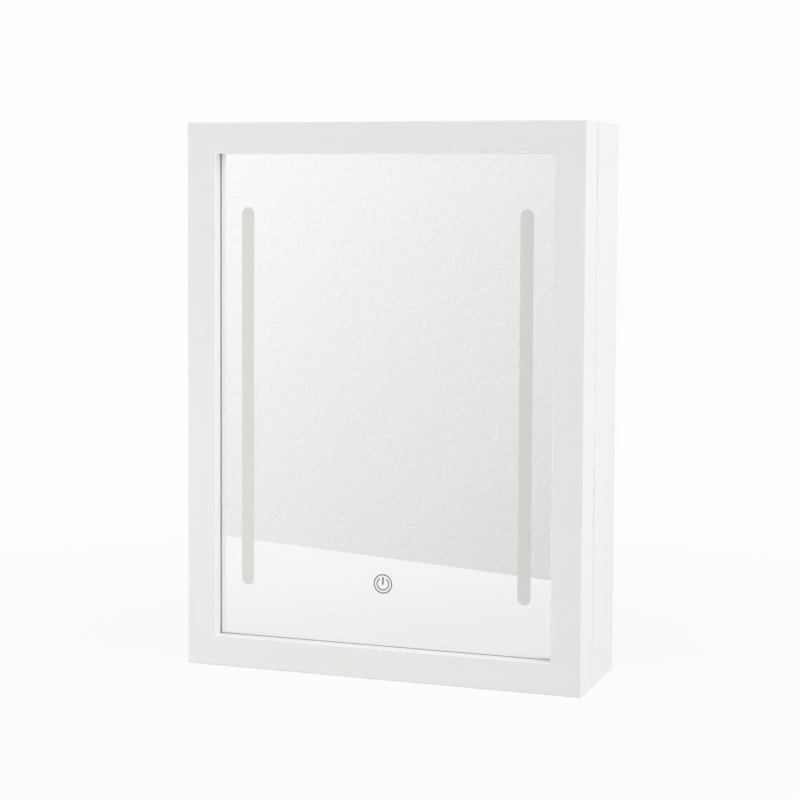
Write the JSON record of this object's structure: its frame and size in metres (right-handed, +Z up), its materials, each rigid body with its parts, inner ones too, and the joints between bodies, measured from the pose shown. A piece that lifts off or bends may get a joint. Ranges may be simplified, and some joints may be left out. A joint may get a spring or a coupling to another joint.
{
  "type": "mirror cabinet",
  "caption": "White bathroom mirror cabinet: a shallow shelved carcass behind a deep hinged door with a framed, recessed mirror, frosted light strips and a touch switch.",
  "frame": {"origin": "middle of the width and depth, at the underside", "axes": "+Z up, +Y towards the wall behind the cabinet, so the mirror faces -Y, and +X to the right seen from the front"},
  "size_m": [0.4525, 0.14, 0.6],
  "materials": {
    "white_board": "satin white lacquer on fibreboard",
    "thin_panel": "white foil on thin hardboard",
    "steel_pin": "zinc plated",
    "beech_dowel": "plain beech",
    "zinc_fitting": "zinc plated",
    "hinge_steel": "satin nickel plated",
    "white_plastic": "fine moulded texture",
    "spring_steel": "bright nickel",
    "clear_bumper": "clear soft plastic",
    "glass_pane": "float glass",
    "silvering": "silvered back",
    "frosted_film": "frosted white",
    "foam_tape": "closed-cell foam",
    "channel_aluminium": "mill finish extrusion",
    "circuit_board": "white solder mask",
    "led_package": "phosphor-filled",
    "opal_diffuser": "opal acrylic",
    "black_plastic": "moulded",
    "cell_jacket": "plain dark jacket",
    "lead_sheath": "pale flexible sheath",
    "plated_steel": "nickel plated"
  },
  "bodies": {
    "carcass": {"left_side_panel": "white_board", "right_side_panel": "white_board", "top_panel": "white_board", "bottom_panel": "white_board", "back_panel": "thin_panel", "hanging_rail": "white_board", "upper_shelf": "white_board", "lower_shelf": "white_board", "shelf_pins": "steel_pin", "carcass_dowels": "beech_dowel", "cam_bolts": "zinc_fitting", "cam_locks": "zinc_fitting", "upper_hinge_carcass_leaf": "hinge_steel", "lower_hinge_carcass_leaf": "hinge_steel", "upper_hinge_pin": "hinge_steel", "lower_hinge_pin": "hinge_steel", "carcass_hinge_screws": "zinc_fitting", "latch_housing": "white_plastic", "latch_screws": "zinc_fitting", "latch_spring": "spring_steel", "door_bumpers": "clear_bumper"},
    "door": {"door_front_frame": "white_board", "door_left_wall": "white_board", "door_right_wall": "white_board", "door_top_wall": "white_board", "door_bottom_wall": "white_board", "door_back_panel": "thin_panel", "door_dowels": "beech_dowel", "mirror_glass": "glass_pane", "mirror_silvering": "silvering", "left_light_window": "frosted_film", "right_light_window": "frosted_film", "mirror_tape": "foam_tape", "mirror_clips": "zinc_fitting", "clip_screws": "zinc_fitting", "left_led_channel": "channel_aluminium", "right_led_channel": "channel_aluminium", "left_led_board": "circuit_board", "right_led_board": "circuit_board", "left_leds": "led_package", "right_leds": "led_package", "left_diffuser": "opal_diffuser", "right_diffuser": "opal_diffuser", "touch_sensor_case": "black_plastic", "touch_sensor_board": "circuit_board", "battery_tray": "white_plastic", "battery_cells": "cell_jacket", "battery_contacts": "spring_steel", "left_lead": "lead_sheath", "right_lead": "lead_sheath", "battery_lead": "lead_sheath", "upper_hinge_door_leaf": "hinge_steel", "lower_hinge_door_leaf": "hinge_steel", "door_hinge_screws": "zinc_fitting", "strike_plate": "plated_steel"},
    "battery_cover": {"battery_cover": "white_plastic"},
    "plunger": {"latch_plunger": "white_plastic", "latch_magnet": "plated_steel"}
  },
  "joints": [
    {"name": "door_hinge", "type": "hinge", "parent": "carcass", "child": "door", "pos_m": [-0.225, -0.0225, 0.3], "axis": [0, 0, -1], "range_deg": [0, 170]},
    {"name": "battery_cover_slide", "type": "slide", "parent": "door", "child": "battery_cover", "axis": [0, 0, 1], "range_m": [0, 0.066]},
    {"name": "latch_press", "type": "slide", "parent": "carcass", "child": "plunger", "axis": [0, 1, 0], "range_m": [0, 0.003], "stiffness_N_per_m": 400, "deforming": ["latch_spring"]}
  ]
}
